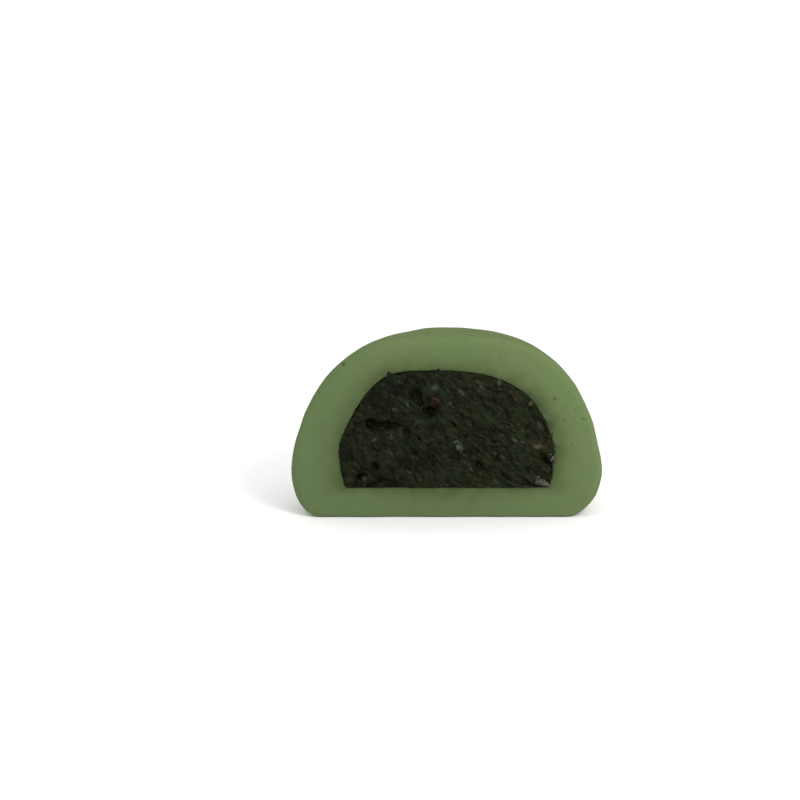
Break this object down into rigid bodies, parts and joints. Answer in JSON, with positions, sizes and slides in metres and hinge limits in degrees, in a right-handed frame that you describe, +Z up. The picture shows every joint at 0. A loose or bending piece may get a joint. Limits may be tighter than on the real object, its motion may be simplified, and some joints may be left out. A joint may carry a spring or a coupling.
{
  "type": "mochi rice cake",
  "caption": "Half of a round green mochi rice cake, cut straight down through its middle to show the dark bean paste filling, standing on its flat underside.",
  "frame": {"origin": "centre of the bounding box's bottom, on the flat underside", "axes": "+X along the width of the cut face, -Y straight out of the cut face, +Z up"},
  "size_m": [0.0538, 0.027, 0.0322],
  "materials": {
    "rice_dough": "matte",
    "bean_paste": "satin"
  },
  "bodies": {
    "root": {"rice_dough": "rice_dough", "bean_paste": "bean_paste"}
  },
  "joints": []
}
